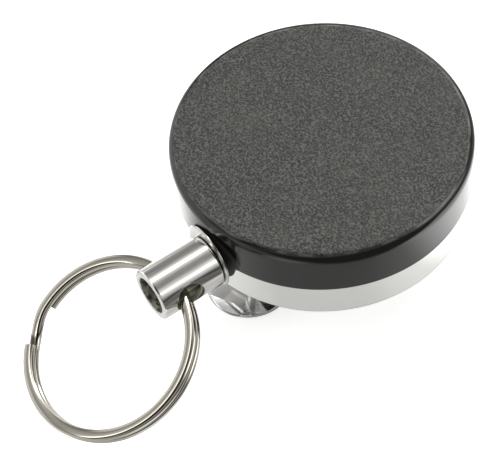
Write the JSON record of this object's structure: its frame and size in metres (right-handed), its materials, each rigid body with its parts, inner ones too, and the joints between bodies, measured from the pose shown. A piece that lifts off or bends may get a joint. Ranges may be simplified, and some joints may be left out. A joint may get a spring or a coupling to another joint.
{
  "type": "retractable badge reel",
  "caption": "Round clip-on reel whose sprung cord draws a swivelling end tube and split ring back to the case.",
  "frame": {"origin": "on the reel's axis, on the resting face of the belt clip", "axes": "+Z along the reel's axis to the front cover, -Y out of the nozzle, +X to the right seen from the nozzle"},
  "size_m": [0.04, 0.0683, 0.0188],
  "materials": {
    "cover_plastic": "fine moulded grain on the face, smooth edge",
    "bright_plate": "bright plated",
    "clip_plate": "bright plated",
    "ring_nickel": "nickel plated, drawn wire",
    "turned_steel": "turned",
    "spring_steel": "blued strip",
    "brass": "turned",
    "nylon": "moulded",
    "bumper_rubber": "moulded",
    "cord": "stranded wire under a thin dark coat"
  },
  "bodies": {
    "case": {"front_cover": "cover_plastic", "case_cup": "bright_plate", "nozzle_collar": "bright_plate", "cord_guide": "brass", "spindle": "turned_steel", "spindle_retainer": "spring_steel", "lower_washer": "nylon", "upper_washer": "nylon", "clip_pad": "clip_plate", "clip_rivet": "turned_steel"},
    "clip": {"clip_leaf": "clip_plate"},
    "spool": {"spool_drum": "nylon", "spring_lid": "nylon", "lower_bush": "brass", "upper_bush": "brass", "power_spring": "spring_steel", "cord_winding": "cord", "cord_anchor": "turned_steel"},
    "cord": {"cord_lead": "cord"},
    "cord_tip": {"cord_crimp": "turned_steel", "stop_washer": "bright_plate"},
    "end_fitting": {"end_tube": "bright_plate", "end_bumper": "bumper_rubber"},
    "key_ring": {"split_ring": "ring_nickel"}
  },
  "joints": [
    {"name": "clip_flex", "type": "hinge", "parent": "case", "child": "clip", "pos_m": [0, 0.012, 0.00038], "axis": [1, 0, 0], "range_deg": [0, 14], "stiffness_Nm_per_rad": 2},
    {"name": "cord_pull", "type": "slide", "parent": "case", "child": "cord", "axis": [0, -1, 0], "range_m": [0, 0.54], "stiffness_N_per_m": 1, "springref_m": -0.4, "deforming": ["cord_lead"]},
    {"name": "spool_spin", "type": "hinge", "parent": "case", "child": "spool", "pos_m": [0, 0, 0.01129], "axis": [0, 0, 1], "range_deg": [-2230, 0], "deforming": ["power_spring"]},
    {"name": "end_rock", "type": "hinge", "parent": "cord", "child": "cord_tip", "pos_m": [0, -0.02015, 0.01129], "axis": [0, 0, 1], "range_deg": [0, 16]},
    {"name": "end_swivel", "type": "hinge", "parent": "cord_tip", "child": "end_fitting", "pos_m": [0, -0.02015, 0.01129], "axis": [-0.1478, -0.989, 0], "continuous": true},
    {"name": "ring_swing", "type": "hinge", "parent": "end_fitting", "child": "key_ring", "pos_m": [-0.00085, -0.02584, 0.01129], "axis": [0.989, -0.1478, 0], "range_deg": [-114, 65]}
  ],
  "couplings": [
    {"joint": "spool_spin", "follows": "cord_pull", "rad_per_m": -71.94}
  ]
}
